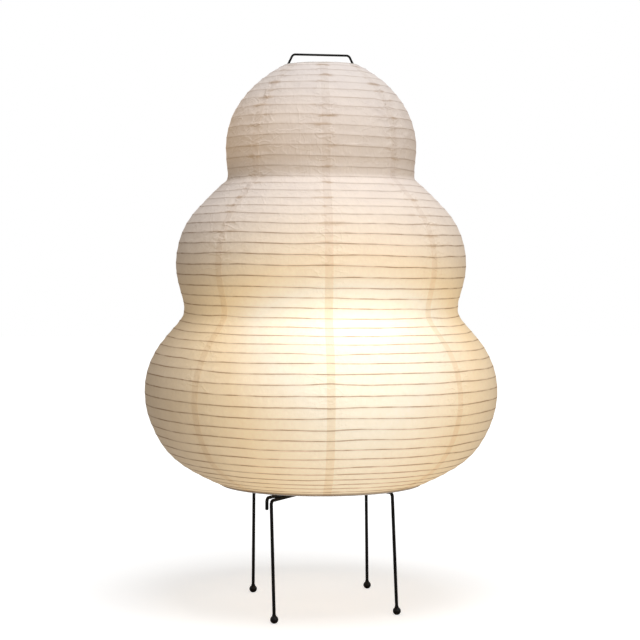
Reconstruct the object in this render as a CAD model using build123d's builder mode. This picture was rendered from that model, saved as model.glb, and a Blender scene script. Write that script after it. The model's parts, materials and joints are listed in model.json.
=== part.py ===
from build123d import *
from math import cos, degrees, pi, radians, sin, sqrt
import os

os.makedirs("parts", exist_ok=True)

# A floor lamp with a three-lobed paper lantern over a black wire stand.
# Millimetres, +Z up, origin on the floor under the middle of the lantern.
# Azimuths are in degrees from +X, seen from above, and -90 faces the viewer.

# Whole lamp
lamp_height = 600.0
joint_gap = 0.3
running_gap = 0.08
weld_depth = 0.15
overrun = 1.0

# Paper lantern
shade_radius = 191.5
shade_bottom = 133.5
shade_height = 453.0
paper = 0.4
gores = 8
gore_angle = 360 / gores
front_seam = -87
seam_lap = 8.5
# Each row is the outline's radius as a share of shade_radius, its height as a
# share of shade_height, and the way it heads there, in degrees, going down.
outline_shares = [
    (0.224, 1.000, -28),
    (0.457, 0.915, -55),
    (0.542, 0.802, -90),
    (0.531, 0.734, -90),
    (0.577, 0.710, -43),
    (0.704, 0.656, -47),
    (0.824, 0.524, -90),
    (0.786, 0.442, -107),
    (0.778, 0.416, -90),
    (0.828, 0.376, -48),
    (0.923, 0.327, -56),
    (1.000, 0.221, -90),
    (0.907, 0.097, -123),
    (0.761, 0.039, -149),
    (0.580, 0.000, -156),
]

# Spiral rib, one long splint wound inside the paper from the top rim to the bottom
rib_wire = 1.2
rib_sides = 6
rib_gap = 0.3
rib_turns = 48.75
rib_start = 225
arcs_per_turn = 4
rib_end_drop = 4.0

# Rims of the lantern, each a wire ring wrapped in paper tape
top_ring_wire = 2.2
bottom_ring_wire = 2.4
ring_tape = 0.4
tape_gap = 0.2

# Stretcher, the tall wire frame that holds the lantern open, with the handle
stretcher_wire = 2.4
stretcher_azimuth = 12
stretcher_half_width = 42.0
handle_half_width = 31.2
handle_rise = 22.3
handle_bend = 4.5
shoulder_bend = 8.0

# Legs, two bent wires that cross under the lamp
leg_wire = 3.5
leg_bend = 4.2
leg_top = 126.2
long_wire_azimuth = 62
long_wire_reach = 110.0
short_wire_azimuth = -38
short_wire_reach = 95.5

# Feet, a ball pressed on each leg. Each row is how far out the foot stands, as
# a share of foot_reach, and its azimuth, because the legs are bent by hand.
foot_reach = 104.0
foot_places_shares = {
    "front_left": (1.070, 244.2),
    "back_right": (0.998, 59.5),
    "front_right": (0.941, -34.9),
    "back_left": (0.977, 138.9),
}
foot_ball = 8.6
foot_flat = 0.35
foot_neck = 4.4
foot_neck_height = 0.6
leg_end_height = 3.0

# Rim hooks, a short bent wire welded on each end of the long wire's bar
hook_start = 58.0
hook_ramp = 99.0
hook_crown = 105.0
hook_reach = 119.0
hook_rise = 0.55
hook_tip = 117.8
hook_ramp_bend = 6.0
hook_bend = 4.0

# Bracket, a flat steel strip across the crossing that carries the lampholder
bracket_length = 98.0
bracket_width = 15.0
bracket_thick = 1.8

# Sockets that the stretcher's lower ends stand in
socket_wall = 1.3
socket_floor = 1.2
socket_height = 16.0

# Lampholder
holder_radius = 19.0
holder_wall = 1.8
holder_floor = 2.6
holder_base_height = 19.0
holder_body_height = 37.0
holder_spigot = 4.0
holder_flare = 1.0
holder_lip = 1.6
carrier_thick = 8.0
carrier_gap = 0.2
carrier_ledge = 1.2
shell_wall = 0.5
shell_height = 22.0
shell_grooves = 4
shell_bead = 0.5
inlet_azimuth = 102
inlet_bore = 6.6
inlet_wall = 1.6
inlet_flange = 2.2
inlet_flange_thick = 2.0
inlet_length = 9.0
contact_width = 5.0
contact_thick = 0.6
contact_rise = 3.0
contact_length = 9.0
terminal_spread = 8.0
terminal_head = 5.0
terminal_head_height = 2.0
terminal_thread = 2.6
terminal_length = 5.0

# Screws that hold the lampholder on the bracket
screw_spread = 12.0
screw_thread = 3.0
screw_head = 5.6
screw_head_height = 2.0
screw_slot = 0.8
screw_hole_gap = 0.15
nut_flats = 5.5
nut_height = 2.4
washer_radius = 3.4
washer_thick = 0.6

# Light bulb with an E27 screw cap
cap_radius = 13.1
cap_height = 18.0
cap_wall = 0.4
cap_bead = 0.45
cap_beads = 4
cap_gap = 0.45
insulator_height = 5.0
tip_radius = 4.6
tip_height = 1.6
housing_neck = 14.2
housing_radius = 28.0
housing_height = 40.0
housing_wall = 1.6
globe_radius = 30.0
globe_wall = 1.2
board_thick = 1.6
board_gap = 0.3
board_ledge = 2.4
chip_side = 3.0
chip_height = 0.8
chips = 8
chip_circle = 14.0
driver_width = 17.0
driver_height = 24.0
driver_thick = 1.4

# Heights worked out upwards from the legs
short_wire_top = leg_top + leg_wire - weld_depth
bracket_low = short_wire_top + leg_wire / 2 - weld_depth
bracket_top = bracket_low + bracket_thick
holder_low = bracket_top
holder_joint = holder_low + holder_base_height
holder_top = holder_joint + holder_body_height
carrier_low = holder_joint + carrier_ledge
carrier_top = carrier_low + carrier_thick
contact_top = carrier_top + contact_rise
tip_low = contact_top + joint_gap
insulator_low = tip_low + tip_height
cap_low = insulator_low + insulator_height
cap_top = cap_low + cap_height
housing_low = cap_top
housing_top = housing_low + housing_height
globe_centre = housing_top + sqrt(globe_radius**2 - housing_radius**2)

# Rings, set where the paper ends and where the wires carry them
top_ring_outer = top_ring_wire / 2 + ring_tape
top_ring_radius = outline_shares[0][0] * shade_radius - paper - tape_gap - top_ring_outer
top_ring_height = shade_bottom + shade_height - top_ring_outer / 2
bottom_ring_outer = bottom_ring_wire / 2 + ring_tape
bottom_ring_radius = outline_shares[-1][0] * shade_radius - paper - tape_gap - bottom_ring_outer
bottom_ring_height = leg_top + leg_wire + hook_rise + leg_wire / 2 + joint_gap + bottom_ring_outer
handle_top = lamp_height - stretcher_wire / 2
shoulder_low = handle_top - handle_rise


def around(reach, azimuth, height=0.0):
    """The point at this distance from the lamp's axis, azimuth and height."""
    return Vector(reach * cos(radians(azimuth)), reach * sin(radians(azimuth)), height)


def upright(azimuth):
    """The vertical plane through the lamp's axis whose x runs along azimuth."""
    return Plane(origin=(0, 0, 0), x_dir=around(1, azimuth), z_dir=around(1, azimuth - 90))


def biarc_joint(start, start_way, end, end_way):
    """Where two smooth arcs from start to end meet, and the unit tangent there."""
    chord = end - start
    ways = start_way + end_way
    spread = 2 * (1 - start_way.dot(end_way))
    along = chord.dot(ways)
    if abs(spread) < 1e-9:
        reach = chord.dot(chord) / (2 * along)
    else:
        reach = (sqrt(along**2 + spread * chord.dot(chord)) - along) / spread
    before = start + start_way * reach
    after = end - end_way * reach
    return (before + after) / 2, (after - before).normalized()


def biarcs(points, ways):
    """Arcs through the points, smooth everywhere, for a BuildLine to take."""
    for start, end, start_way, end_way in zip(points, points[1:], ways, ways[1:]):
        middle, middle_way = biarc_joint(start, start_way, end, end_way)
        TangentArc(start, middle, tangent=start_way)
        TangentArc(middle, end, tangent=middle_way)


def outline(inset):
    """Points and headings of the lantern's outline, moved inwards by inset."""
    points = []
    ways = []
    for radius_share, height_share, heading in outline_shares:
        way = Vector(cos(radians(heading)), sin(radians(heading)))
        inwards = Vector(way.Y, -way.X)
        corner = Vector(radius_share * shade_radius, shade_bottom + height_share * shade_height)
        points.append(corner + inwards * inset)
        ways.append(way)
    return points, ways


def lay_sheet(inner, outer):
    """A closed section of the sheet between two insets, for the open sketch."""
    with BuildLine() as section:
        biarcs(*outline(outer))
        biarcs(*outline(inner))
        Line(outline(outer)[0][0], outline(inner)[0][0])
        Line(outline(outer)[0][-1], outline(inner)[0][-1])
    make_face(section.edges())


def lay_shape(*points):
    """A closed shape with straight sides, for the open sketch."""
    with BuildLine() as section:
        Polyline(*points, close=True)
    make_face(section.edges())


def lay_wire(path, diameter):
    """Sweep a round wire along the path, for the open part."""
    with BuildSketch(Plane(origin=path @ 0, z_dir=path % 0)) as disc:
        Circle(diameter / 2)
    sweep(disc.sketch, path=path)


def finish(builder, label):
    """Label a finished piece and write its file."""
    builder.part.label = label
    export_step(builder.part, f"parts/{label}.step")


# Paper gores, each a panel from rim to rim with a lap pasted over its neighbour
lap_sweep = degrees(seam_lap / (outline_shares[0][0] * shade_radius))

for number in range(gores):
    seam = front_seam + number * gore_angle
    with BuildPart() as gore:
        for inset, azimuth in ((0, seam - lap_sweep), (paper / 2, seam)):
            with BuildSketch(upright(azimuth)):
                lay_sheet(inset, -paper)
            revolve(axis=Axis.Z, revolution_arc=lap_sweep)
        with Locations(Location((0, 0, 0), (0, 0, seam))):
            Box(
                shade_radius + overrun,
                seam_lap,
                2 * lamp_height,
                align=(Align.MIN, Align.CENTER, Align.CENTER),
                mode=Mode.INTERSECT,
            )
        with BuildSketch(upright(seam)):
            lay_sheet(paper, 0)
        revolve(axis=Axis.Z, revolution_arc=gore_angle)
    finish(gore, f"paper_gore_{number + 1}")

# Spiral rib, a splint planed to six sides and wound against the inside of the
# paper, dropping as it goes round anticlockwise seen from above, on smooth arcs
with BuildLine() as rib_meridian:
    biarcs(*outline(paper + rib_gap + rib_wire / 2))
rib_track = rib_meridian.wire()
rib_track_length = rib_track.length
rib_first = rib_end_drop / rib_track_length
rib_last = 1 - rib_first


def rib_point(turn):
    """Where the rib's centre line is after this many turns."""
    spot = rib_track @ (rib_first + (rib_last - rib_first) * turn / rib_turns)
    return around(spot.X, rib_start + 360 * turn, spot.Y)


def rib_way(turn):
    """The unit tangent of the rib's centre line after this many turns."""
    share = rib_first + (rib_last - rib_first) * turn / rib_turns
    spot = rib_track @ share
    slope = rib_track % share
    azimuth = rib_start + 360 * turn
    advance = (rib_last - rib_first) * rib_track_length / rib_turns
    outwards = around(slope.X * advance, azimuth, slope.Y * advance)
    return (outwards + around(2 * pi * spot.X, azimuth + 90)).normalized()


rib_steps = round(rib_turns * arcs_per_turn)
rib_spots = [rib_turns * step / rib_steps for step in range(rib_steps + 1)]
rib_points = [rib_point(turn) for turn in rib_spots]
rib_ways = [rib_way(turn) for turn in rib_spots]

with BuildPart() as rib_spiral:
    with BuildLine() as rib_path:
        Line(rib_points[0] - rib_ways[0] * rib_wire, rib_points[0])
        biarcs(rib_points, rib_ways)
        Line(rib_points[-1], rib_points[-1] + rib_ways[-1] * rib_wire)
    rib_run = rib_path.wire()
    with BuildSketch(Plane(origin=rib_run @ 0, z_dir=rib_run % 0)):
        RegularPolygon(rib_wire / 2, rib_sides)
    sweep(path=rib_run)
finish(rib_spiral, "rib_spiral")

rib_checks_per_turn = 24
rib_samples = [
    rib_point(step / rib_checks_per_turn)
    for step in range(int(rib_turns * rib_checks_per_turn) + 1)
]
rib_least_gap = min(
    (rib_samples[first] - rib_samples[second]).length - rib_wire
    for first in range(len(rib_samples))
    for second in range(
        first + rib_checks_per_turn // 2,
        min(first + 3 * rib_checks_per_turn // 2, len(rib_samples)),
    )
)
rib_length = sum((b - a).length for a, b in zip(rib_samples, rib_samples[1:]))
print(f"rib spiral: least gap to itself {rib_least_gap:.2f} mm, length {rib_length:.0f} mm")

# Rim rings and the paper tape wrapped round each
rims = {
    "top": (top_ring_wire, top_ring_radius, top_ring_height),
    "bottom": (bottom_ring_wire, bottom_ring_radius, bottom_ring_height),
}
for rim, (wire, radius, height) in rims.items():
    with BuildPart() as ring:
        with BuildSketch(Plane.XZ):
            with Locations((radius, height)):
                Circle(wire / 2)
        revolve(axis=Axis.Z)
    finish(ring, f"{rim}_rim_ring")
    with BuildPart() as tape:
        with BuildSketch(Plane.XZ):
            with Locations((radius, height)):
                Circle(wire / 2 + ring_tape)
                Circle(wire / 2, mode=Mode.SUBTRACT)
        revolve(axis=Axis.Z)
    finish(tape, f"{rim}_rim_tape")

# Stretcher, from one socket up over the handle and down to the other
stretcher_low = bracket_low + socket_floor + joint_gap
stretcher_plane = upright(stretcher_azimuth)
stretcher_corners = [
    (-stretcher_half_width, stretcher_low),
    (-stretcher_half_width, shoulder_low),
    (-handle_half_width, handle_top),
    (handle_half_width, handle_top),
    (stretcher_half_width, shoulder_low),
    (stretcher_half_width, stretcher_low),
]
with BuildPart() as stretcher:
    with BuildLine(stretcher_plane) as stretcher_path:
        FilletPolyline(
            *stretcher_corners,
            radius=[shoulder_bend, handle_bend, handle_bend, shoulder_bend],
        )
    lay_wire(stretcher_path.wire(), stretcher_wire)
finish(stretcher, "stretcher")

# Leg wires, each from one foot up, across the lamp and down to the other foot
leg_wires = {
    "long_leg_wire": ("front_left", "back_right", long_wire_azimuth, long_wire_reach, leg_top),
    "short_leg_wire": (
        "back_left",
        "front_right",
        short_wire_azimuth,
        short_wire_reach,
        short_wire_top,
    ),
}


def foot_place(foot, height):
    """The point at this height over a foot's centre."""
    reach_share, azimuth = foot_places_shares[foot]
    return around(reach_share * foot_reach, azimuth, height)


for label, (first_foot, last_foot, azimuth, reach, height) in leg_wires.items():
    with BuildPart() as leg:
        with BuildLine() as leg_path:
            FilletPolyline(
                foot_place(first_foot, leg_end_height),
                around(-reach, azimuth, height),
                around(reach, azimuth, height),
                foot_place(last_foot, leg_end_height),
                radius=leg_bend,
            )
        lay_wire(leg_path.wire(), leg_wire)
    finish(leg, label)

# Ball feet, each with a short neck, a flat worn under it and a hole for the leg
foot_radius = foot_ball / 2
foot_centre = foot_radius - foot_flat
corners = {
    "front_left": around(-long_wire_reach, long_wire_azimuth, leg_top),
    "back_right": around(long_wire_reach, long_wire_azimuth, leg_top),
    "front_right": around(short_wire_reach, short_wire_azimuth, short_wire_top),
    "back_left": around(-short_wire_reach, short_wire_azimuth, short_wire_top),
}
for foot in foot_places_shares:
    place = foot_place(foot, 0)
    leg_end = foot_place(foot, leg_end_height)
    leg_way = (corners[foot] - leg_end).normalized()
    with BuildPart() as ball:
        with Locations(place + Vector(0, 0, foot_centre)):
            Sphere(foot_radius)
        with BuildSketch(Plane(origin=leg_end, z_dir=leg_way)):
            Circle(foot_neck / 2)
        extrude(amount=foot_centre - leg_end_height + foot_radius + foot_neck_height)
        with BuildSketch(Plane(origin=leg_end, z_dir=leg_way)):
            Circle(leg_wire / 2)
        extrude(amount=foot_ball + foot_neck_height, mode=Mode.SUBTRACT)
        split(bisect_by=Plane.XY, keep=Keep.TOP)
    finish(ball, f"{foot}_foot")

# Rim hooks, each welded along the long wire's bar and bent over at its end
hook_bar = leg_top + leg_wire - weld_depth
hook_crown_height = leg_top + leg_wire + hook_rise
hook_sides = {"front": long_wire_azimuth + 180, "back": long_wire_azimuth}
for side, azimuth in hook_sides.items():
    with BuildPart() as hook:
        with BuildLine(upright(azimuth)) as hook_path:
            FilletPolyline(
                (hook_start, hook_bar),
                (hook_ramp, hook_bar),
                (hook_crown, hook_crown_height),
                (hook_reach, hook_crown_height),
                (hook_reach, hook_tip),
                radius=[hook_ramp_bend, hook_ramp_bend, hook_bend],
            )
        lay_wire(hook_path.wire(), leg_wire)
        tip_edge = hook.edges().filter_by(GeomType.CIRCLE).sort_by(Axis.Z)[0]
        fillet(tip_edge, leg_wire / 3)
    finish(hook, f"{side}_rim_hook")

# Bracket, the strip that lies over the crossing of the leg wires
with BuildPart() as bracket:
    with BuildSketch(Plane.XY.offset(bracket_low)):
        with Locations(Rotation(0, 0, stretcher_azimuth)):
            SlotOverall(bracket_length, bracket_width)
            with Locations((stretcher_half_width, 0), (-stretcher_half_width, 0)):
                Circle(stretcher_wire / 2 + running_gap + socket_wall, mode=Mode.SUBTRACT)
            with Locations((screw_spread, 0), (-screw_spread, 0)):
                Circle(screw_thread / 2 + screw_hole_gap, mode=Mode.SUBTRACT)
    extrude(amount=bracket_thick)
finish(bracket, "bracket")

# Sockets, closed at the bottom, pressed in the ends of the bracket
socket_sides = {"left": stretcher_azimuth + 180, "right": stretcher_azimuth}
for side, azimuth in socket_sides.items():
    middle = around(stretcher_half_width, azimuth)
    with BuildPart() as socket:
        with BuildSketch(Plane.XY.offset(bracket_low)):
            with Locations(middle):
                Circle(stretcher_wire / 2 + running_gap + socket_wall)
        extrude(amount=socket_height)
        with BuildSketch(Plane.XY.offset(bracket_low + socket_floor)):
            with Locations(middle):
                Circle(stretcher_wire / 2 + running_gap)
        extrude(amount=socket_height, mode=Mode.SUBTRACT)
    finish(socket, f"{side}_stretcher_socket")

# Lampholder base, a cup with a boss at its side for the cord inlet
inlet_radius = inlet_bore / 2 + inlet_wall
inlet_height = holder_low + holder_base_height / 2
inlet_face = holder_radius + overrun


def inlet_plane(reach):
    """The upright plane across the cord inlet's axis, this far out."""
    return Plane(
        origin=around(reach, inlet_azimuth, inlet_height),
        x_dir=(0, 0, 1),
        z_dir=around(1, inlet_azimuth),
    )


with BuildPart() as holder_base:
    with BuildSketch(Plane.XY.offset(holder_low)):
        Circle(holder_radius)
    extrude(amount=holder_base_height)
    with BuildSketch(inlet_plane(holder_radius - 2 * holder_wall)):
        Circle(inlet_radius + inlet_flange)
    extrude(amount=inlet_face - holder_radius + 2 * holder_wall)
    with BuildSketch(Plane.XY.offset(holder_low + holder_floor)):
        Circle(holder_radius - holder_wall)
    extrude(amount=holder_base_height, mode=Mode.SUBTRACT)
    with BuildSketch(inlet_plane(0)):
        Circle(inlet_radius)
    extrude(amount=holder_radius + inlet_flange_thick, mode=Mode.SUBTRACT)
    with BuildSketch(Plane.XY.offset(holder_low)):
        with Locations(around(screw_spread, stretcher_azimuth), around(-screw_spread, stretcher_azimuth)):
            Circle(screw_thread / 2 + screw_hole_gap)
    extrude(amount=holder_floor, mode=Mode.SUBTRACT)
finish(holder_base, "holder_base")

# Cord inlet, a flanged bush in the boss
with BuildPart() as cord_inlet:
    with BuildSketch(inlet_plane(inlet_face - inlet_length)):
        Circle(inlet_radius)
    extrude(amount=inlet_length)
    with BuildSketch(inlet_plane(inlet_face)):
        Circle(inlet_radius + inlet_flange)
    extrude(amount=inlet_flange_thick)
    with BuildSketch(inlet_plane(inlet_face - inlet_length)):
        Circle(inlet_bore / 2)
    extrude(amount=inlet_length + inlet_flange_thick, mode=Mode.SUBTRACT)
    rim = cord_inlet.edges().filter_by(GeomType.CIRCLE).group_by(SortBy.RADIUS)[-1]
    chamfer(rim, inlet_flange_thick / 4)
finish(cord_inlet, "cord_inlet")

# Lampholder body, flaring to its mouth, with a spigot that sits in the base
body_bore = holder_radius - holder_wall
spigot_radius = body_bore - running_gap
mouth_radius = holder_radius + holder_flare
with BuildPart() as holder_body:
    with BuildSketch(Plane.XZ):
        lay_shape(
            (spigot_radius, holder_joint - holder_spigot),
            (spigot_radius, holder_joint),
            (holder_radius, holder_joint),
            (mouth_radius, holder_top),
            (mouth_radius - holder_lip, holder_top),
            (body_bore, carrier_top),
            (body_bore, carrier_low),
            (spigot_radius - holder_lip, carrier_low),
            (spigot_radius - holder_lip, holder_joint - holder_spigot),
        )
    revolve(axis=Axis.Z)
    mouth = holder_body.edges().filter_by(GeomType.CIRCLE).group_by(Axis.Z)[-1]
    fillet(mouth, holder_lip / 3)
finish(holder_body, "holder_body")

# Contact carrier, the ceramic disc that seats in the lampholder body
terminal_spots = [
    around(terminal_spread, stretcher_azimuth + 90),
    around(-terminal_spread, stretcher_azimuth + 90),
]
with BuildPart() as contact_carrier:
    with BuildSketch(Plane.XY.offset(carrier_low)):
        Circle(body_bore - carrier_gap)
        with Locations(*terminal_spots):
            Circle(terminal_thread / 2, mode=Mode.SUBTRACT)
    extrude(amount=carrier_thick)
    rim = contact_carrier.edges().group_by(Axis.Z)[-1].sort_by(SortBy.RADIUS)[-1]
    chamfer(rim, carrier_ledge / 2)
finish(contact_carrier, "contact_carrier")

# Terminal screws, driven up into the contact carrier
with BuildPart() as terminal_screws:
    with BuildSketch(Plane.XY.offset(carrier_low - terminal_head_height)):
        with Locations(*terminal_spots):
            Circle(terminal_head / 2)
    extrude(amount=terminal_head_height)
    with BuildSketch(Plane.XY.offset(carrier_low)):
        with Locations(*terminal_spots):
            Circle(terminal_thread / 2)
    extrude(amount=terminal_length)
    with BuildSketch(Plane.XY.offset(carrier_low - terminal_head_height)):
        with Locations(*terminal_spots):
            Rectangle(screw_slot, terminal_head)
    extrude(amount=terminal_head_height / 2, mode=Mode.SUBTRACT)
finish(terminal_screws, "terminal_screws")


def beaded(radius, wall, low, height, beads, bead):
    """The section of a rolled thread: a thin wall that runs in and out."""
    pitch = height / beads
    heights = [low + pitch * share / 2 for share in range(2 * beads + 1)]
    outer = [
        (radius - bead * (place % 2 == 0), level) for place, level in enumerate(heights)
    ]
    inner = [(x - wall, z) for x, z in outer]
    return outer + inner[::-1]


# Screw shell, the brass cup that the bulb's cap turns in
shell_bore = cap_radius + cap_gap
with BuildPart() as screw_shell:
    with BuildSketch(Plane.XZ):
        lay_shape(
            *beaded(
                shell_bore + shell_wall + shell_bead,
                shell_wall,
                carrier_top,
                shell_height,
                shell_grooves,
                shell_bead,
            )
        )
    revolve(axis=Axis.Z)
finish(screw_shell, "screw_shell")

# Centre contact, a brass tongue that rises to the bulb's tip
tongue_foot = contact_rise
tongue_head = contact_width / 3
with BuildPart() as centre_contact:
    with BuildSketch(upright(stretcher_azimuth)):
        lay_shape(
            (-contact_length, carrier_top),
            (-contact_length, carrier_top + contact_thick),
            (-tongue_foot, carrier_top + contact_thick),
            (-tongue_head, contact_top),
            (tongue_head, contact_top),
            (tongue_head, contact_top - contact_thick),
            (contact_thick - tongue_head, contact_top - contact_thick),
            (contact_thick - tongue_foot, carrier_top),
        )
    extrude(amount=contact_width / 2, both=True)
finish(centre_contact, "centre_contact")

# Holder screws, washers and nuts, two of each, through base and bracket
screw_spots = [
    around(screw_spread, stretcher_azimuth),
    around(-screw_spread, stretcher_azimuth),
]
screw_seat = holder_low + holder_floor
washer_low = bracket_low - washer_thick
nut_low = washer_low - nut_height
with BuildPart() as holder_screws:
    with BuildSketch(Plane.XY.offset(nut_low - washer_thick)):
        with Locations(*screw_spots):
            Circle(screw_thread / 2)
    extrude(amount=screw_seat - nut_low + washer_thick)
    with BuildSketch(Plane.XY.offset(screw_seat)):
        with Locations(*screw_spots):
            Circle(screw_head / 2)
    extrude(amount=screw_head_height)
    with BuildSketch(Plane.XY.offset(screw_seat + screw_head_height / 2)):
        with Locations(*screw_spots):
            Rectangle(screw_slot, screw_head)
    extrude(amount=screw_head_height, mode=Mode.SUBTRACT)
finish(holder_screws, "holder_screws")

with BuildPart() as holder_washers:
    with BuildSketch(Plane.XY.offset(washer_low)):
        with Locations(*screw_spots):
            Circle(washer_radius)
            Circle(screw_thread / 2 + screw_hole_gap, mode=Mode.SUBTRACT)
    extrude(amount=washer_thick)
finish(holder_washers, "holder_washers")

with BuildPart() as holder_nuts:
    with BuildSketch(Plane.XY.offset(nut_low)):
        with Locations(*screw_spots):
            RegularPolygon(nut_flats / 2, 6, major_radius=False)
            Circle(screw_thread / 2, mode=Mode.SUBTRACT)
    extrude(amount=nut_height)
finish(holder_nuts, "holder_nuts")

# Bulb cap, the thin rolled shell that screws into the holder
with BuildPart() as bulb_cap:
    with BuildSketch(Plane.XZ):
        lay_shape(*beaded(cap_radius, cap_wall, cap_low, cap_height, cap_beads, cap_bead))
    revolve(axis=Axis.Z)
finish(bulb_cap, "bulb_cap")

# Bulb insulator, the cone that closes the cap round the tip contact
cap_root = cap_radius - cap_bead
with BuildPart() as bulb_insulator:
    with BuildSketch(Plane.XZ):
        lay_shape(
            (tip_radius / 2, insulator_low),
            (tip_radius, insulator_low),
            (cap_root, cap_low),
            (cap_root - cap_wall, cap_low),
            (cap_root - cap_wall, cap_low + tip_height),
            (tip_radius / 2, cap_low + tip_height),
        )
    revolve(axis=Axis.Z)
finish(bulb_insulator, "bulb_insulator")

# Tip contact, a riveted button under the insulator
with BuildPart() as bulb_tip:
    with BuildSketch(Plane.XY.offset(tip_low)):
        Circle(tip_radius)
    extrude(amount=tip_height)
    fillet(bulb_tip.edges().group_by(Axis.Z)[0], tip_height / 2)
    with BuildSketch(Plane.XY.offset(insulator_low)):
        Circle(tip_radius / 2)
    extrude(amount=insulator_height)
finish(bulb_tip, "bulb_tip")

# Bulb housing, flaring from the cap to the globe, with a ledge for the board
board_low = housing_top - board_thick
neck_top = housing_low + insulator_height


def housing_side(neck, mouth):
    """Points and ways of one face of the housing's flare."""
    return [Vector(neck, neck_top), Vector(mouth, board_low)], [Vector(0, 1), Vector(0, 1)]


housing_bore = housing_radius - housing_wall
neck_bore = housing_neck - housing_wall
with BuildPart() as bulb_housing:
    with BuildSketch(Plane.XZ):
        with BuildLine():
            Polyline(
                (neck_bore, neck_top),
                (neck_bore, housing_low),
                (housing_neck, housing_low),
                (housing_neck, neck_top),
            )
            biarcs(*housing_side(housing_neck, housing_radius))
            Polyline(
                (housing_radius, board_low),
                (housing_radius, housing_top),
                (housing_bore, housing_top),
                (housing_bore, board_low),
                (housing_bore - board_ledge, board_low),
            )
            biarcs(*housing_side(neck_bore, housing_bore - board_ledge))
        make_face()
    revolve(axis=Axis.Z)
finish(bulb_housing, "bulb_housing")

# Light board on the ledge, its chips, and the driver board that hangs from it
with BuildPart() as light_board:
    with BuildSketch(Plane.XY.offset(board_low)):
        Circle(housing_radius - housing_wall - board_gap)
    extrude(amount=board_thick)
finish(light_board, "light_board")

with BuildPart() as light_chips:
    with BuildSketch(Plane.XY.offset(housing_top)):
        with PolarLocations(chip_circle, chips):
            Rectangle(chip_side, chip_side)
    extrude(amount=chip_height)
finish(light_chips, "light_chips")

with BuildPart() as driver_board:
    with BuildSketch(Plane.XY.offset(board_low)):
        Rectangle(driver_width, driver_thick)
    extrude(amount=-driver_height)
finish(driver_board, "driver_board")

# Bulb globe, the frosted dome that closes the housing
with BuildPart() as bulb_globe:
    with Locations((0, 0, globe_centre)):
        Sphere(globe_radius)
        Sphere(globe_radius - globe_wall, mode=Mode.SUBTRACT)
    split(bisect_by=Plane.XY.offset(housing_top), keep=Keep.TOP)
finish(bulb_globe, "bulb_globe")

print(f"bulb top {globe_centre + globe_radius:.1f}, holder top {holder_top:.1f}")
print(f"rib track {rib_track_length:.1f}, pitch {rib_track_length / rib_turns:.2f}")
print(f"top ring {top_ring_radius:.2f} at {top_ring_height:.2f}")
print(f"bottom ring {bottom_ring_radius:.2f} at {bottom_ring_height:.2f}")
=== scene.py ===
import json
from math import atan2, cos, degrees, pi, radians, sin, sqrt

import bpy
import numpy as np
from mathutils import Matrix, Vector, noise


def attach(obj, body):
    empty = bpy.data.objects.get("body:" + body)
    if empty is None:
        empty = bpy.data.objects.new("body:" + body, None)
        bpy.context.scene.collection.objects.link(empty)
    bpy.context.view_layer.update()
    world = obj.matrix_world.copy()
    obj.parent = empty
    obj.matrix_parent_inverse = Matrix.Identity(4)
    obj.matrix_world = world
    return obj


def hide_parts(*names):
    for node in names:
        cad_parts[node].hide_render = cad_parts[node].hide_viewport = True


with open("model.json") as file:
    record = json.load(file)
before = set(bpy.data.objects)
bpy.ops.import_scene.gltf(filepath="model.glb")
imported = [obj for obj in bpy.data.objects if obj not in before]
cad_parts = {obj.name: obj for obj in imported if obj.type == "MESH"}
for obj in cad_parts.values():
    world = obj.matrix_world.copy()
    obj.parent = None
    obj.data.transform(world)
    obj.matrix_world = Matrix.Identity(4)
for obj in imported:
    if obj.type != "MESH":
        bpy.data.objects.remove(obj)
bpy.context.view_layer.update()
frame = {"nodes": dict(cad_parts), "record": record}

# Paper lamp: a lobed paper lantern over a black wire stand, in metres and
# degrees, in the same frame as the solids.

# The part's own values, repeated here
shade_radius = 0.1915
shade_bottom = 0.1335
shade_height = 0.453
paper = 0.0004
gores = 8
gore_angle = 45.0
front_seam = -87.0
seam_lap = 0.0085
rib_wire = 0.0012
rib_gap = 0.0003
rib_turns = 48.75
rib_start = 225.0
rib_end_drop = 0.004
rib_depth = paper + rib_gap + rib_wire / 2
# Share of the radius, share of the height, and the outline's heading there
outline_rows = [
    (0.224, 1.000, -28),
    (0.457, 0.915, -55),
    (0.542, 0.802, -90),
    (0.531, 0.734, -90),
    (0.577, 0.710, -43),
    (0.704, 0.656, -47),
    (0.824, 0.524, -90),
    (0.786, 0.442, -107),
    (0.778, 0.416, -90),
    (0.828, 0.376, -48),
    (0.923, 0.327, -56),
    (1.000, 0.221, -90),
    (0.907, 0.097, -123),
    (0.761, 0.039, -149),
    (0.580, 0.000, -156),
]
arc_points = 60
least_turn = 1e-6
least_opening = 1e-9

# The photograph's camera
camera_place = (-0.0011, -1.9158, 0.38395)
camera_sensor = 36.0
camera_lens = 98.78
camera_shift = -0.10625
camera_far = 50.0

# The room, the floor and the lamps
room_light = 0.09
floor_size = 12
floor_grey = 0.62
floor_fade = (0.25, 1.1)
floor_light = (0.64, 1.0)
# Name, place, target, side, power and colour
softboxes = [
    ("overhead_softbox", (0.2, -0.7, 2.2), (0, 0, 0.35), 1.3, 35.0, (0.975, 0.98, 1.0)),
    ("right_softbox", (1.35, -1.9, 0.75), (0, 0, 0.3), 1.1, 10.5, (1.0, 0.93, 0.83)),
]
glow_lamp_place = (0, 0, 0.300)
glow_lamp_power = 0.3
glow_lamp_colour = (1.0, 0.72, 0.42)
glow_lamp_radius = 0.03

# The bulb's light in the paper: its centre, its reach, how it falls off, and
# the left side, where it is weaker
bulb_glow = (0.019, 0.085, 0.259)
glow_reach = 0.165
glow_fall = -1.85
glow_left = (-0.19, -0.06)
glow_left_level = 0.82

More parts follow.
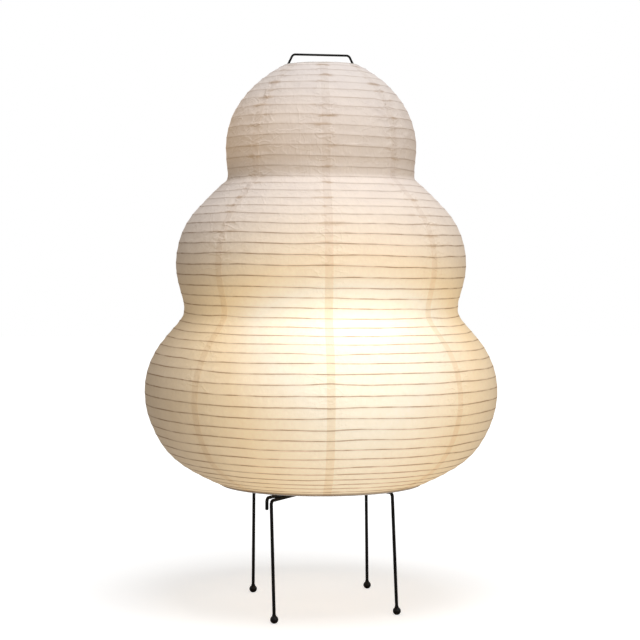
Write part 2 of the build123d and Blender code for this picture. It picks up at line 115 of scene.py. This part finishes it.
# The dressed paper: its mesh, its laps in the map, and its relief
rows_per_turn = 8
panel_columns = 34
lap_margin = 6.0
aim_rounds = 3
map_lap = 0.1
rib_map_span = 52.0
paper_sag = 0.00032
upper_sag = 0.2
sag_shape = 0.8
wrinkle = 0.00032
highest_fold = 0.0004
seam_reach = 0.22
rib_drift = 0.20
drift_scale = 9
drift_spot = (3.1, 0.7, 5.3)
seam_pull = 0.22
pull_reach = 9.0
top_lobe_from = 0.42
top_lobe_over = 0.1
sheet_step = 0.00016
sheet_wall = 0.0001
weld_gap = 0.00002
smooth_angle = 40.0

# Heights between which the paper's look changes
edge_heights = (0.1348, 0.1372)
sloping_heights = (0.136, 0.20)
low_rim_heights = (0.14, 0.20)
shoulder_shade_heights = (0.25, 0.30)
upper_heights = (0.30, 0.45)
waist_heights = (0.34, 0.39)
fainter_heights = (0.38, 0.47)
top_foot_heights = (0.45, 0.50)
top_lobe_heights = (0.52, 0.58)


# Camera, floor and lamps
def light_room(scene):
    """A white room that is bright to look at and dim as a light."""
    world = bpy.data.worlds.new("soft_room")
    world.use_nodes = True
    tree = world.node_tree
    background = tree.nodes["Background"]
    path = tree.nodes.new("ShaderNodeLightPath").outputs
    seen = maths(tree, "MAXIMUM", path["Is Camera Ray"], path["Is Glossy Ray"])
    seen = maths(tree, "MAXIMUM", seen, path["Is Transmission Ray"])
    level = spread(tree, seen, 0.0, 1.0, room_light, 1.0)
    background.inputs["Color"].default_value = (1, 1, 1, 1)
    tree.links.new(level, background.inputs["Strength"])
    scene.world = world


def hang_softbox(scene, name, place, target, size, power, colour):
    """A square lamp that faces its target and isn't seen itself."""
    data = bpy.data.lights.new(name, "AREA")
    data.shape = "SQUARE"
    data.size = size
    data.energy = power
    data.color = colour
    light = bpy.data.objects.new(name, data)
    light.location = place
    way = Vector(target) - Vector(place)
    light.rotation_euler = way.to_track_quat("-Z", "Y").to_euler()
    light.visible_camera = False
    scene.collection.objects.link(light)


def lay_floor():
    """A pale floor that keeps a soft shadow and fades to white."""
    bpy.ops.object.select_all(action="DESELECT")
    bpy.ops.mesh.primitive_plane_add(size=floor_size, location=(0, 0, 0))
    floor = bpy.context.object
    floor.name = "studio_floor"
    finish = bpy.data.materials.new("pale_floor")
    finish.use_nodes = True
    tree = finish.node_tree
    shader = tree.nodes["Principled BSDF"]
    shader.inputs["Base Color"].default_value = (floor_grey, floor_grey, floor_grey, 1)
    shader.inputs["Roughness"].default_value = 0.9
    shader.inputs["Emission Color"].default_value = (1, 1, 1, 1)
    path = tree.nodes.new("ShaderNodeLightPath")
    place = tree.nodes.new("ShaderNodeTexCoord")
    reach = tree.nodes.new("ShaderNodeVectorMath")
    reach.operation = "LENGTH"
    tree.links.new(place.outputs["Object"], reach.inputs[0])
    fade = spread(tree, reach.outputs["Value"], *floor_fade, *floor_light)
    boost = maths(tree, "MULTIPLY", path.outputs["Is Camera Ray"], fade)
    tree.links.new(boost, shader.inputs["Emission Strength"])
    floor.data.materials.append(finish)


def studio():
    """Camera at the photograph's place, pale floor and soft lamps."""
    scene = bpy.context.scene
    scene.view_settings.view_transform = "Standard"
    camera_data = bpy.data.cameras.new("photo_camera")
    camera_data.sensor_width = camera_sensor
    camera_data.lens = camera_lens
    camera_data.shift_y = camera_shift
    camera_data.clip_end = camera_far
    camera = bpy.data.objects.new("photo_camera", camera_data)
    camera.location = camera_place
    camera.rotation_euler = (radians(90), 0, 0)
    scene.collection.objects.link(camera)
    scene.camera = camera
    light_room(scene)
    for softbox in softboxes:
        hang_softbox(scene, *softbox)
    glow_data = bpy.data.lights.new("bulb_glow", "POINT")
    glow_data.energy = glow_lamp_power
    glow_data.color = glow_lamp_colour
    glow_data.shadow_soft_size = glow_lamp_radius
    glow = bpy.data.objects.new("bulb_glow", glow_data)
    glow.location = glow_lamp_place
    scene.collection.objects.link(glow)
    lay_floor()


# Lines of the lantern
def arc_spots(start, way, end, count):
    """Points along the arc that leaves start along way and reaches end."""
    chord = end - start
    left = np.array((-way[1], way[0]))
    turn = 2 * atan2(float(chord @ left), float(chord @ way))
    steps = np.linspace(0, 1, count, endpoint=False)[:, None]
    if abs(turn) < least_turn:
        return start + chord * steps
    radius = np.linalg.norm(chord) / (2 * sin(turn / 2))
    forwards = np.sin(turn * steps) * way
    return start + radius * (forwards + (1 - np.cos(turn * steps)) * left)


def lay_outline(inset):
    """The lantern's outline moved inwards, as many close points."""
    spots = []
    ways = []
    for radius_share, height_share, heading in outline_rows:
        way = np.array((cos(radians(heading)), sin(radians(heading))))
        height = shade_bottom + height_share * shade_height
        corner = np.array((radius_share * shade_radius, height))
        spots.append(corner + np.array((way[1], -way[0])) * inset)
        ways.append(way)
    run = []
    for start, end, start_way, end_way in zip(spots, spots[1:], ways, ways[1:]):
        chord = end - start
        both = start_way + end_way
        opening = 2 * (1 - float(start_way @ end_way))
        along = float(chord @ both)
        if abs(opening) < least_opening:
            reach = float(chord @ chord) / (2 * along)
        else:
            root = sqrt(along**2 + opening * float(chord @ chord))
            reach = (root - along) / opening
        before = start + start_way * reach
        after = end - end_way * reach
        middle = (before + after) / 2
        middle_way = (after - before) / np.linalg.norm(after - before)
        run.append(arc_spots(start, start_way, middle, arc_points))
        run.append(arc_spots(middle, middle_way, end, arc_points))
    run.append(spots[-1][None, :])
    return np.concatenate(run)


rib_line = lay_outline(rib_depth)
rib_steps = np.linalg.norm(np.diff(rib_line, axis=0), axis=1)
rib_track = np.concatenate(([0.0], np.cumsum(rib_steps)))
track_length = rib_track[-1]
rib_first = rib_end_drop / track_length
rib_pitch = track_length * (1 - 2 * rib_first) / rib_turns
rib_ways = np.gradient(rib_line, axis=0)
rib_ways /= np.linalg.norm(rib_ways, axis=1)[:, None]


def lantern_spot(share, outwards):
    """Radius and height at this share of the track, moved outwards from the rib."""
    at = share * track_length
    radius = np.interp(at, rib_track, rib_line[:, 0])
    height = np.interp(at, rib_track, rib_line[:, 1])
    way_r = np.interp(at, rib_track, rib_ways[:, 0])
    way_z = np.interp(at, rib_track, rib_ways[:, 1])
    return radius - way_z * outwards, height + way_r * outwards


# Shader groups and finishes
def new_group(name, inputs, outputs):
    """An empty shader group with named sockets, and its two end nodes."""
    group = bpy.data.node_groups.new(name, "ShaderNodeTree")
    for label, kind, value in inputs:
        socket = group.interface.new_socket(label, in_out="INPUT", socket_type=kind)
        if value is not None:
            socket.default_value = value
    for label, kind in outputs:
        group.interface.new_socket(label, in_out="OUTPUT", socket_type=kind)
    return group, group.nodes.new("NodeGroupInput"), group.nodes.new("NodeGroupOutput")


def maths(tree, operation, first, second=None, third=None, clamp=False):
    """A Math node; each value is a number or a socket."""
    node = tree.nodes.new("ShaderNodeMath")
    node.operation = operation
    node.use_clamp = clamp
    for index, value in enumerate((first, second, third)):
        if value is None:
            continue
        if isinstance(value, (int, float)):
            node.inputs[index].default_value = value
        else:
            tree.links.new(value, node.inputs[index])
    return node.outputs[0]


def spread(tree, value, low, high, to_low=0.0, to_high=1.0, smooth=False):
    """A Map Range node from low and high to to_low and to_high."""
    node = tree.nodes.new("ShaderNodeMapRange")
    node.interpolation_type = "SMOOTHSTEP" if smooth else "LINEAR"
    tree.links.new(value, node.inputs["Value"])
    node.inputs["From Min"].default_value = low
    node.inputs["From Max"].default_value = high
    node.inputs["To Min"].default_value = to_low
    node.inputs["To Max"].default_value = to_high
    return node.outputs["Result"]


def tint(tree, share, first, second, mode="MIX"):
    """A colour Mix node; each colour is four numbers or a socket."""
    node = tree.nodes.new("ShaderNodeMix")
    node.data_type = "RGBA"
    node.blend_type = mode
    if isinstance(share, (int, float)):
        node.inputs["Factor"].default_value = share
    else:
        tree.links.new(share, node.inputs["Factor"])
    for socket, value in ((node.inputs[6], first), (node.inputs[7], second)):
        if isinstance(value, tuple):
            socket.default_value = value
        else:
            tree.links.new(value, socket)
    return node.outputs[2]


def grain(tree, where, scale, detail=3.0, rough=0.55, stretch=(1, 1, 1)):
    """Noise over the piece, finer or coarser, drawn out along an axis."""
    mapping = tree.nodes.new("ShaderNodeMapping")
    mapping.inputs["Scale"].default_value = stretch
    tree.links.new(where, mapping.inputs["Vector"])
    node = tree.nodes.new("ShaderNodeTexNoise")
    node.inputs["Scale"].default_value = scale
    node.inputs["Detail"].default_value = detail
    node.inputs["Roughness"].default_value = rough
    tree.links.new(mapping.outputs["Vector"], node.inputs["Vector"])
    return node.outputs["Fac"]


def grey(tree, level):
    """A colour with this level in each channel."""
    node = tree.nodes.new("ShaderNodeCombineColor")
    for socket in ("Red", "Green", "Blue"):
        tree.links.new(level, node.inputs[socket])
    return node.outputs["Color"]


def make_mottle_group():
    """Slow and fine variation that every maker's finish has."""
    group, given, out = new_group(
        "surface_mottle",
        [("Slow Scale", "NodeSocketFloat", 30.0), ("Fine Scale", "NodeSocketFloat", 400.0)],
        [("Slow", "NodeSocketFloat"), ("Fine", "NodeSocketFloat")],
    )
    place = group.nodes.new("ShaderNodeTexCoord").outputs["Object"]
    for scale, label in (("Slow Scale", "Slow"), ("Fine Scale", "Fine")):
        node = group.nodes.new("ShaderNodeTexNoise")
        node.inputs["Detail"].default_value = 4.0
        group.links.new(place, node.inputs["Vector"])
        group.links.new(given.outputs[scale], node.inputs["Scale"])
        group.links.new(node.outputs["Fac"], out.inputs[label])
    return group


def make_glow_group():
    """How much of the bulb's light reaches a place on the paper."""
    group, given, out = new_group(
        "bulb_light",
        [("Centre", "NodeSocketVector", bulb_glow), ("Reach", "NodeSocketFloat", glow_reach)],
        [("Glow", "NodeSocketFloat")],
    )
    place = group.nodes.new("ShaderNodeTexCoord").outputs["Object"]
    parts = group.nodes.new("ShaderNodeSeparateXYZ")
    group.links.new(place, parts.inputs["Vector"])
    both_sides = group.nodes.new("ShaderNodeCombineXYZ")
    group.links.new(parts.outputs["X"], both_sides.inputs["X"])
    group.links.new(maths(group, "ABSOLUTE", parts.outputs["Y"]), both_sides.inputs["Y"])
    group.links.new(parts.outputs["Z"], both_sides.inputs["Z"])
    away = group.nodes.new("ShaderNodeVectorMath")
    away.operation = "DISTANCE"
    group.links.new(both_sides.outputs["Vector"], away.inputs[0])
    group.links.new(given.outputs["Centre"], away.inputs[1])
    share = maths(group, "DIVIDE", away.outputs["Value"], given.outputs["Reach"])
    fall = maths(group, "POWER", share, glow_fall)
    left = spread(group, parts.outputs["X"], *glow_left, glow_left_level, 1.0)
    group.links.new(maths(group, "MULTIPLY", fall, left), out.inputs["Glow"])
    return group


mottle_group = make_mottle_group()
glow_group = make_glow_group()


def new_finish(name, roughness, metallic=0.0, coat=0.0):
    """A new material, its node tree and its shader with plain values set."""
    material = bpy.data.materials.new(name)
    material.use_nodes = True
    shader = material.node_tree.nodes["Principled BSDF"]
    shader.inputs["Roughness"].default_value = roughness
    shader.inputs["Metallic"].default_value = metallic
    shader.inputs["Coat Weight"].default_value = coat
    return material, material.node_tree, shader


def place_group(tree, group):
    """Puts a shared group in a material."""
    node = tree.nodes.new("ShaderNodeGroup")
    node.node_tree = group
    return node


def set_bump(tree, shader, height, depth, strength=1.0):
    """Feeds a height, in metres, to the shader's normal."""
    node = tree.nodes.new("ShaderNodeBump")
    node.inputs["Strength"].default_value = strength
    node.inputs["Distance"].default_value = depth
    tree.links.new(height, node.inputs["Height"])
    tree.links.new(node.outputs["Normal"], shader.inputs["Normal"])


def maker_finish(name, colour, shade, roughness, metallic=0.0, coat=0.0,
                 slow=30.0, fine=500.0, depth=0.00003, rough_spread=0.12, gloss=0.5):
    """A finish in one colour with its natural mottle, from shade to colour."""
    material, tree, shader = new_finish(name, roughness, metallic, coat)
    shader.inputs["Specular IOR Level"].default_value = gloss
    mottle = place_group(tree, mottle_group)
    mottle.inputs["Slow Scale"].default_value = slow
    mottle.inputs["Fine Scale"].default_value = fine
    blend = spread(tree, mottle.outputs["Slow"], 0.35, 0.65)
    tree.links.new(tint(tree, blend, shade + (1,), colour + (1,)), shader.inputs["Base Color"])
    smoothest = roughness - rough_spread / 2
    roughest = roughness + rough_spread / 2
    rough = spread(tree, mottle.outputs["Fine"], 0.3, 0.7, smoothest, roughest)
    tree.links.new(rough, shader.inputs["Roughness"])
    set_bump(tree, shader, mottle.outputs["Fine"], depth)
    return material


def lantern_paper_finish():
    """White paper lit by the bulb, with the rib showing, lapped seams, and painted shade by the
    ribs, on the lower shoulder and in the puckers.
    """
    material, tree, shader = new_finish("lantern_paper", 0.92)
    shader.inputs["Specular IOR Level"].default_value = 0.15
    panel = tree.nodes.new("ShaderNodeUVMap")
    panel.uv_map = "panel"
    split = tree.nodes.new("ShaderNodeSeparateXYZ")
    tree.links.new(panel.outputs["UV"], split.inputs["Vector"])
    across = split.outputs["X"]
    place = tree.nodes.new("ShaderNodeTexCoord").outputs["Object"]
    split_place = tree.nodes.new("ShaderNodeSeparateXYZ")
    tree.links.new(place, split_place.inputs["Vector"])

    def by_height(heights, low=0.0, high=1.0, smooth=True):
        return spread(tree, split_place.outputs["Z"], *heights, low, high, smooth)

    # The rib's line, partly the wire seen through the paper and partly its painted shadow, and
    # the paper's place from it in metres
    turn = maths(tree, "MULTIPLY", split.outputs["Y"], rib_map_span)
    wander = grain(tree, place, 22.0, 2.0)
    turn = maths(tree, "ADD", turn, spread(tree, wander, 0.2, 0.8, -0.05, 0.05))
    part = maths(tree, "FRACT", turn)
    off = maths(tree, "ABSOLUTE", maths(tree, "SUBTRACT", part, 0.5))
    near = maths(tree, "SUBTRACT", 0.5, off)
    away = maths(tree, "MULTIPLY", near, rib_pitch)
    sloping = by_height(sloping_heights, 0.45, 1.0, smooth=False)
    across_line = maths(tree, "MULTIPLY", away, sloping)
    line = spread(tree, across_line, 0.00030, 0.00085, 1.0, 0.0, smooth=True)
    # Painted shade beside each rib
    rib_shade = spread(tree, away, 0.0, 0.0030, 1.0, 0.0, smooth=True)
    broken = spread(tree, grain(tree, place, 45.0, 2.0), 0.34, 0.60, 0.45, 1.0)
    line = maths(tree, "MULTIPLY", line, broken)
    line = maths(tree, "MULTIPLY", line, by_height(fainter_heights, 1.0, 0.52))

    # The lapped seams, from the map's place across the gore
    from_middle = maths(tree, "ABSOLUTE", maths(tree, "SUBTRACT", across, 0.5))
    edge = maths(tree, "SUBTRACT", 0.5, from_middle)
    seam = spread(tree, edge, 0.0975, 0.1005, 1.0, 0.0)

    # The paper's colour, with painted light and shade in it where marked below
    fibres = grain(tree, place, 260.0, 4.0, 0.6)
    clouds = grain(tree, place, 38.0, 3.0, 0.6)
    # Painted light: the lower lobes darker and warmer and the upper ones paler and cooler, as
    # the bulb and the overhead lamp fall on them
    above = by_height(upper_heights)
    dull = tint(tree, above, (0.495, 0.435, 0.36, 1), (0.605, 0.57, 0.565, 1))
    light = tint(tree, above, (0.545, 0.49, 0.415, 1), (0.66, 0.62, 0.60, 1))
    base = tint(tree, spread(tree, clouds, 0.3, 0.7), dull, light)
    # Painted shade on the bottom lobe's shoulder, under the middle lobe
    shoulder_shade = by_height(shoulder_shade_heights, 0.0, 0.4)
    shoulder_shade = maths(tree, "MULTIPLY", shoulder_shade, by_height(waist_heights, 1.0, 0.0))
    base = tint(tree, shoulder_shade, base, (0.37, 0.29, 0.19, 1))
    # The lapped seams, the painted shade beside each rib, and the rib line with its painted
    # shadow
    for mark, strength, colour in (
        (seam, 0.13, (0.42, 0.37, 0.32, 1)),
        (rib_shade, 0.10, (0.40, 0.34, 0.28, 1)),
        (line, 0.76, (0.205, 0.12, 0.072, 1)),
    ):
        base = tint(tree, maths(tree, "MULTIPLY", mark, strength), base, colour)
    # Painted shade in the puckers near the seams and the ribs
    seam_side = spread(tree, edge, 0.10, 0.26, 1.0, 0.0, smooth=True)
    rib_side = spread(tree, away, 0.0004, 0.0038, 1.0, 0.0, smooth=True)
    puckers = grain(tree, place, 52.0, 2.5, 0.6, (1.0, 1.0, 3.4))
    pucker_shade = spread(tree, puckers, 0.50, 0.61, smooth=True)
    pucker_shade = maths(tree, "MULTIPLY", maths(tree, "MULTIPLY", pucker_shade, seam_side), rib_side)
    low_rim = by_height(low_rim_heights, 0.5, 0.1)
    where_creased = maths(tree, "ADD", low_rim, maths(tree, "MULTIPLY", above, 0.5))
    pucker_shade = maths(tree, "MULTIPLY", pucker_shade, where_creased)
    base = tint(tree, pucker_shade, base, (0.30, 0.215, 0.16, 1))
    low_edge = by_height(edge_heights, 0.75, 0.0)
    base = tint(tree, low_edge, base, (0.20, 0.105, 0.07, 1))
    tree.links.new(base, shader.inputs["Base Color"])

    # The bulb's light through it, darker at the rib, the seams and the edge
    glow = place_group(tree, glow_group).outputs["Glow"]
    faint = (0.315, 0.212, 0.115, 1)
    bright = (0.42, 0.298, 0.152, 1)
    hottest = (0.34, 0.295, 0.225, 1)
    warm = tint(tree, spread(tree, glow, 0.5, 1.1), faint, bright)
    warm = tint(tree, spread(tree, glow, 1.35, 2.0), warm, hottest)
    for mark, colour in ((line, (0.49, 0.40, 0.33, 1)), (seam, (0.91, 0.845, 0.74, 1))):
        warm = tint(tree, mark, warm, tint(tree, 1.0, warm, colour, "MULTIPLY"))
    level = maths(tree, "MULTIPLY", glow, spread(tree, fibres, 0.3, 0.7, 0.93, 1.05))
    for mark, left_over in ((rib_shade, 0.93), (low_edge, 0.25)):
        level = maths(tree, "MULTIPLY", level, spread(tree, mark, 0.0, 1.0, 1.0, left_over))
    lit = tint(tree, 1.0, warm, grey(tree, level), "MULTIPLY")

    # The bulb's warm light painted on the foot of the top lobe, stronger on the left
    foot = by_height(top_foot_heights)
    foot = maths(tree, "MULTIPLY", foot, by_height(top_lobe_heights, 1.0, 0.25))
    left_side = spread(tree, split_place.outputs["X"], -0.085, 0.06, 1.0, 0.38)
    foot = maths(tree, "MULTIPLY", foot, left_side)
    lit = tint(tree, foot, lit, tint(tree, 1.0, lit, (0.145, 0.085, 0.03, 1), "ADD"))
    tree.links.new(lit, shader.inputs["Emission Color"])
    shader.inputs["Emission Strength"].default_value = 1.0

    # Creases and folds, most by the seams and in the upper lobes
    near_seam = spread(tree, edge, 0.10, 0.28, 1.0, 0.12, smooth=True)
    upper_folds = spread(tree, above, 0.0, 1.0, 0.0, 0.55)
    crumpled = maths(tree, "MAXIMUM", near_seam, upper_folds)
    folds = []
    for scale, stretch in ((26.0, (1.0, 1.0, 1.9)), (41.0, (1.3, 1.0, 0.7))):
        bent = grain(tree, place, scale, 2.5, 0.62, stretch)
        off = maths(tree, "ABSOLUTE", maths(tree, "SUBTRACT", bent, 0.5))
        folds.append(spread(tree, off, 0.0, 0.045, 1.0, 0.0, smooth=True))
    fold = maths(tree, "ADD", folds[0], maths(tree, "MULTIPLY", folds[1], 0.7))
    fold = maths(tree, "MULTIPLY", fold, crumpled)
    creases = grain(tree, place, 90.0, 3.0, 0.6, (1.0, 1.0, 0.45))
    height = maths(tree, "MULTIPLY", creases, 0.8)
    for relief, share in ((fibres, 0.12), (fold, 0.30)):
        height = maths(tree, "ADD", height, maths(tree, "MULTIPLY", relief, share))
    set_bump(tree, shader, height, 0.0011)
    return material


def lit_finish(name, colour, glow, level, roughness=0.4):
    """A lit surface: its own colour, and its light as colour."""
    material, tree, shader = new_finish(name, roughness)
    mottle = place_group(tree, mottle_group)
    mottled = grey(tree, spread(tree, mottle.outputs["Slow"], 0.3, 0.7, 0.92, 1.0))
    own = tint(tree, 1.0, colour + (1,), mottled, "MULTIPLY")
    tree.links.new(own, shader.inputs["Base Color"])
    lit = tint(tree, 1.0, glow + (1,), mottled, "MULTIPLY")
    tree.links.new(lit, shader.inputs["Emission Color"])
    shader.inputs["Emission Strength"].default_value = level
    return material


finishes = {
    "lantern_paper": lantern_paper_finish(),
    "rim_tape": maker_finish(
        "rim_tape", (0.66, 0.61, 0.56), (0.58, 0.52, 0.46), 0.9,
        slow=120.0, fine=900.0, depth=0.0002,
    ),
    "rib_wire": maker_finish(
        "rib_wire", (0.42, 0.35, 0.28), (0.33, 0.26, 0.20), 0.55,
    ),
    "rim_wire": maker_finish(
        "rim_wire", (0.40, 0.34, 0.28), (0.30, 0.25, 0.20), 0.5,
    ),
    "black_wire": maker_finish(
        "black_wire", (0.007, 0.006, 0.005), (0.003, 0.003, 0.003), 0.42,
        slow=60.0, fine=700.0, gloss=0.09,
    ),
    "handle_wire": maker_finish(
        "handle_wire", (0.006, 0.006, 0.006), (0.003, 0.003, 0.003), 0.42,
        slow=60.0, fine=700.0, gloss=0.08,
    ),
    "foot_ball": maker_finish(
        "foot_ball", (0.008, 0.006, 0.005), (0.004, 0.003, 0.003), 0.30,
        slow=140.0, fine=900.0, gloss=0.14,
    ),
    "bracket_steel": maker_finish(
        "bracket_steel", (0.024, 0.023, 0.022), (0.014, 0.014, 0.013), 0.4,
        coat=0.2,
    ),
    "fastener_steel": maker_finish(
        "fastener_steel", (0.62, 0.62, 0.60), (0.50, 0.50, 0.49), 0.34,
        metallic=1.0, slow=300.0, fine=1500.0,
    ),
    "holder_plastic": maker_finish(
        "holder_plastic", (0.035, 0.033, 0.031), (0.022, 0.021, 0.020), 0.48,
        slow=50.0, fine=900.0,
    ),
    "inlet_plastic": maker_finish(
        "inlet_plastic", (0.05, 0.05, 0.048), (0.035, 0.034, 0.033), 0.55,
        slow=90.0, fine=900.0,
    ),
    "holder_ceramic": maker_finish(
        "holder_ceramic", (0.86, 0.84, 0.80), (0.80, 0.77, 0.72), 0.2,
        coat=0.6, slow=80.0, depth=0.00001,
    ),
    "brass": maker_finish(
        "brass", (0.78, 0.58, 0.28), (0.62, 0.43, 0.20), 0.3,
        metallic=1.0, slow=90.0, fine=1200.0,
    ),
    "cap_metal": maker_finish(
        "cap_metal", (0.78, 0.77, 0.75), (0.66, 0.65, 0.63), 0.26,
        metallic=1.0, slow=120.0, fine=1300.0,
    ),
    "cap_insulator": maker_finish(
        "cap_insulator", (0.03, 0.03, 0.035), (0.02, 0.02, 0.022), 0.15,
        coat=0.6,
    ),
    "tip_metal": maker_finish(
        "tip_metal", (0.70, 0.69, 0.66), (0.58, 0.57, 0.54), 0.3,
        metallic=1.0, slow=200.0,
    ),
    "bulb_body": maker_finish(
        "bulb_body", (0.88, 0.86, 0.82), (0.82, 0.79, 0.73), 0.35,
        coat=0.25, slow=40.0, depth=0.00001,
    ),
    "light_board": maker_finish(
        "light_board", (0.82, 0.82, 0.81), (0.74, 0.74, 0.73), 0.45,
        slow=90.0,
    ),
    "light_chips": lit_finish("light_chips", (0.95, 0.78, 0.35), (1.0, 0.80, 0.45), 1.4),
    "driver_board": maker_finish(
        "driver_board", (0.05, 0.20, 0.09), (0.03, 0.13, 0.06), 0.5,
        slow=150.0,
    ),
    "bulb_globe": lit_finish("bulb_globe", (0.92, 0.88, 0.80), (1.0, 0.84, 0.60), 0.9),
}

record = frame["record"]
slot_of = {row["node"]: row["material_slot"] for row in record["subparts"]}


def dress_nodes():
    """Gives every CAD node its slot's finish."""
    for name, node in frame["nodes"].items():
        finish = finishes[slot_of[name]]
        node.data.materials.clear()
        node.data.materials.append(finish)


def lay_columns():
    """Across a gore: share of its angle, shift along the lap and map place."""
    half_lap = seam_lap / 2
    lap_steps = [-half_lap, -half_lap / 3, half_lap / 3, half_lap]
    lap_middle = map_lap / 2
    columns = []
    for step in lap_steps:
        columns.append((0.0, step, lap_middle + lap_middle * step / half_lap))
    for step in range(1, panel_columns):
        share = step / panel_columns
        across = map_lap + (1 - 2 * map_lap) * share
        columns.append((share, half_lap * (1 - 2 * share), across))
    for step in lap_steps:
        columns.append((1.0, step, 1 - lap_middle + lap_middle * step / half_lap))
    return columns


def around(radius, azimuth, height):
    """The place at this radius, azimuth in degrees and height."""
    return radius * cos(radians(azimuth)), radius * sin(radians(azimuth)), height


def paper_panel(number):
    """One gore of the lantern as a thin pasted sheet, drawn in between the ribs."""
    seam = front_seam + number * gore_angle
    columns = lay_columns()
    top_turn = -rib_first * track_length / rib_pitch
    low_turn = (1 - rib_first) * track_length / rib_pitch
    first_lead = (seam - lap_margin - rib_start) / 360
    last_lead = (seam + gore_angle + lap_margin - rib_start) / 360
    first_row = int(np.floor((top_turn - last_lead) * rows_per_turn)) - 1
    last_row = int(np.ceil((low_turn - first_lead) * rows_per_turn)) + 1
    rows = last_row - first_row

    bpy.ops.object.select_all(action="DESELECT")
    bpy.ops.mesh.primitive_grid_add(x_subdivisions=len(columns) - 1, y_subdivisions=rows, size=2)
    sheet = bpy.context.object
    sheet.name = f"paper_panel_{number + 1}"
    mesh = sheet.data
    while mesh.uv_layers:
        mesh.uv_layers.remove(mesh.uv_layers[0])
    maps = [(0.0, 0.0)] * len(mesh.vertices)
    half_gore = gore_angle / 2
    for vertex in mesh.vertices:
        column = round((vertex.co.x + 1) / 2 * (len(columns) - 1))
        row = round((1 - vertex.co.y) / 2 * rows)
        share, shift, across = columns[column]
        wound = (first_row + row) / rows_per_turn
        azimuth = seam + share * gore_angle
        for _ in range(aim_rounds):
            lead = (azimuth - rib_start) / 360
            turn = min(max(wound + lead, top_turn), low_turn)
            track_share = rib_first + turn * rib_pitch / track_length
            radius, height = lantern_spot(track_share, rib_depth)
            azimuth = seam + share * gore_angle + degrees(shift / radius)
        lead = (azimuth - rib_start) / 360
        between = (turn - lead) % 1.0
        place = Vector(around(radius, azimuth, height))

        # The rib drifts a little, and each seam pulls each turn its own way
        drift = rib_drift * noise.noise(place * drift_scale + Vector(drift_spot))
        from_seam = abs((azimuth - front_seam + half_gore) % gore_angle - half_gore)
        knot = max(0.0, 1 - from_seam / pull_reach)
        rib_number = round(turn - lead) + (azimuth > front_seam + 360 - half_gore)
        seam_number = (number + round(share)) % gores
        pull = noise.noise(Vector((0.9 * rib_number, 7.7 * seam_number, 1.3)))
        drift += seam_pull * knot * pull
        drift *= min(turn - top_turn, low_turn - turn, 1.0)
        track_share += drift * rib_pitch / track_length

        # The paper hangs in between the ribs and wrinkles, most by the seams
        near_seam = 1.0
        if map_lap < across < 1 - map_lap:
            from_lap = min(across - map_lap, 1 - map_lap - across)
            near_seam = max(0.0, 1 - from_lap / seam_reach)
        upper = min(max((height - top_lobe_from) / top_lobe_over, 0.0), 1.0)
        hung = paper_sag * (1 + upper_sag * upper) * sin(pi * between) ** sag_shape
        crumple = noise.noise(place * 55) * 0.8 + noise.noise(place * 140) * 0.5
        free = 0.25 + 0.75 * sin(pi * between)
        fold = wrinkle * crumple * free * (0.6 + 0.9 * near_seam + 0.9 * upper)
        layer = (share - 0.5) * sheet_step
        outwards = rib_depth + layer - hung + min(fold, highest_fold)
        radius, height = lantern_spot(track_share, outwards)
        vertex.co = around(radius, azimuth, height)
        maps[vertex.index] = (across, (turn - lead + 1) / rib_map_span)
    panel_map = mesh.uv_layers.new(name="panel")
    for loop in mesh.loops:
        panel_map.data[loop.index].uv = maps[loop.vertex_index]

    bpy.ops.object.mode_set(mode="EDIT")
    bpy.ops.mesh.select_all(action="SELECT")
    bpy.ops.mesh.remove_doubles(threshold=weld_gap)
    bpy.ops.mesh.select_all(action="SELECT")
    bpy.ops.mesh.normals_make_consistent(inside=False)
    bpy.ops.object.mode_set(mode="OBJECT")
    middle = mesh.polygons[len(mesh.polygons) // 2]
    if middle.normal.dot(Vector((middle.center.x, middle.center.y, 0))) < 0:
        mesh.flip_normals()
    wall = sheet.modifiers.new("wall", "SOLIDIFY")
    wall.thickness = sheet_wall
    wall.offset = -1.0
    bpy.ops.object.modifier_apply(modifier="wall")
    bpy.ops.object.shade_smooth_by_angle(angle=radians(smooth_angle))
    mesh.materials.append(finishes["lantern_paper"])
    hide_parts(f"paper_gore_{number + 1}")
    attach(sheet, "shade")


studio()
dress_nodes()
for number in range(gores):
    paper_panel(number)
